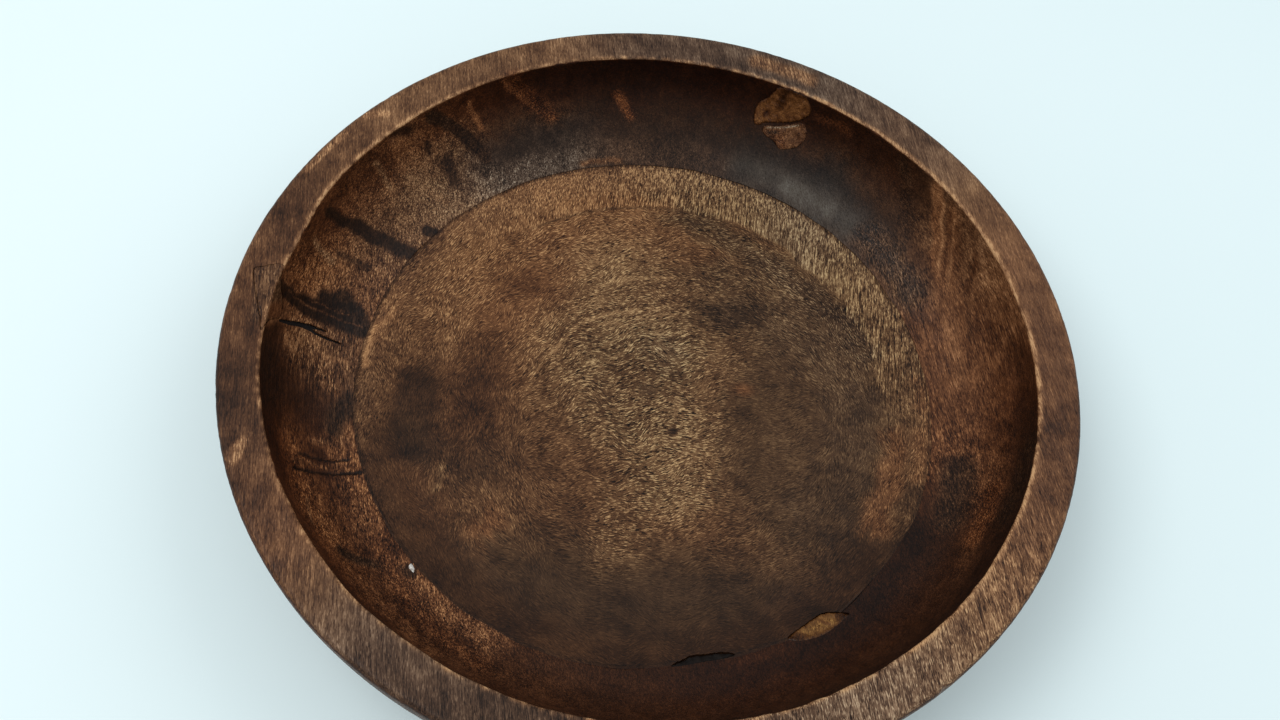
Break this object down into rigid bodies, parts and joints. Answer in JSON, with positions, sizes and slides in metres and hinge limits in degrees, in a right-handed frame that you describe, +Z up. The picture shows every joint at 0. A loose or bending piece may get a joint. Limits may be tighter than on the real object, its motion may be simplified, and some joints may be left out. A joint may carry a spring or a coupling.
{
  "type": "turned wooden bowl",
  "caption": "Wide shallow round bowl of dark-stained hardwood with a flat rim, a hollow coved wall and a glued-on floor board.",
  "frame": {"origin": "centre of the flat foot, on the surface that the bowl rests on", "axes": "+Z up along the turning axis, +Y away from the viewer, +X to the viewer's right"},
  "size_m": [0.356, 0.356, 0.062],
  "materials": {
    "ring_wood": "dark stain under a thin satin lacquer, worn light along the rim's inner edge",
    "board_wood": "dark stain under a thin satin lacquer, golden where the stain has worn in the middle",
    "dark_glue": "matte",
    "knot_wood": "amber, satin lacquer",
    "tan_filler": "tan, matte",
    "amber_filler": "amber, semi-gloss",
    "black_filler": "black, satin",
    "white_glue": "hard, glossy"
  },
  "bodies": {
    "root": {"wall_ring": "ring_wood", "base_board": "board_wood", "glue_film": "dark_glue", "knot_plug": "knot_wood", "knot_filler": "tan_filler", "oval_patch": "amber_filler", "joint_filler": "black_filler", "crack_filler": "black_filler", "rim_chip": "ring_wood", "glue_bead": "white_glue"}
  },
  "joints": []
}
